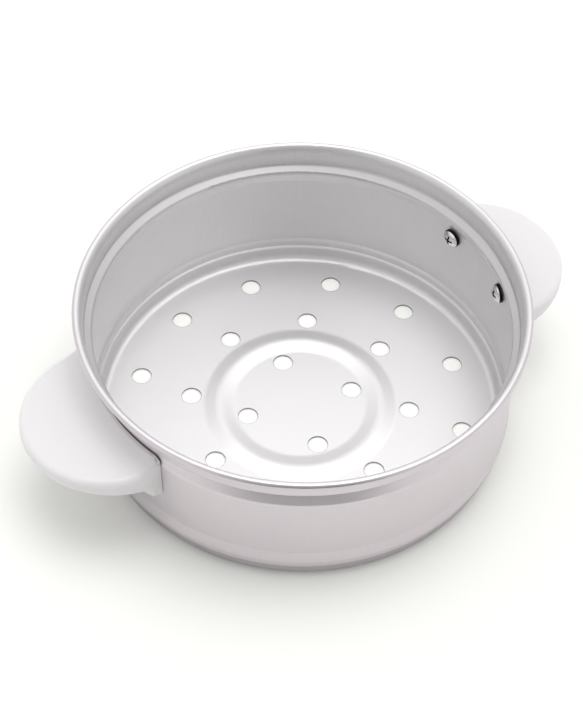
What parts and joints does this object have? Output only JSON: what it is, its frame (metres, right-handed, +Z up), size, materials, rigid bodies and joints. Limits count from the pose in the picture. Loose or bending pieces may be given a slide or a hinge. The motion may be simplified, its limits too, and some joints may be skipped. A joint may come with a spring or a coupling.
{
  "type": "stacking steamer tier",
  "caption": "Round drawn aluminium steaming tier with a perforated floor, a rolled rim, a stacking collar and two white side ears.",
  "frame": {"origin": "centre of the floor's underside, on the surface that the tier stands on", "axes": "+Z up along the pan's axis, +X from the axis to the right ear, +Y to the rear"},
  "size_m": [0.26, 0.196, 0.0723],
  "materials": {
    "drawn_aluminium": "satin, drawn and lightly brushed round the axis",
    "white_plastic": "moulded, soft gloss",
    "screw_steel": "bright zinc"
  },
  "bodies": {
    "root": {"steamer_pan": "drawn_aluminium", "right_handle": "white_plastic", "left_handle": "white_plastic", "right_front_screw": "screw_steel", "right_front_washer": "screw_steel", "right_rear_screw": "screw_steel", "right_rear_washer": "screw_steel", "left_front_screw": "screw_steel", "left_front_washer": "screw_steel", "left_rear_screw": "screw_steel", "left_rear_washer": "screw_steel"}
  },
  "joints": []
}
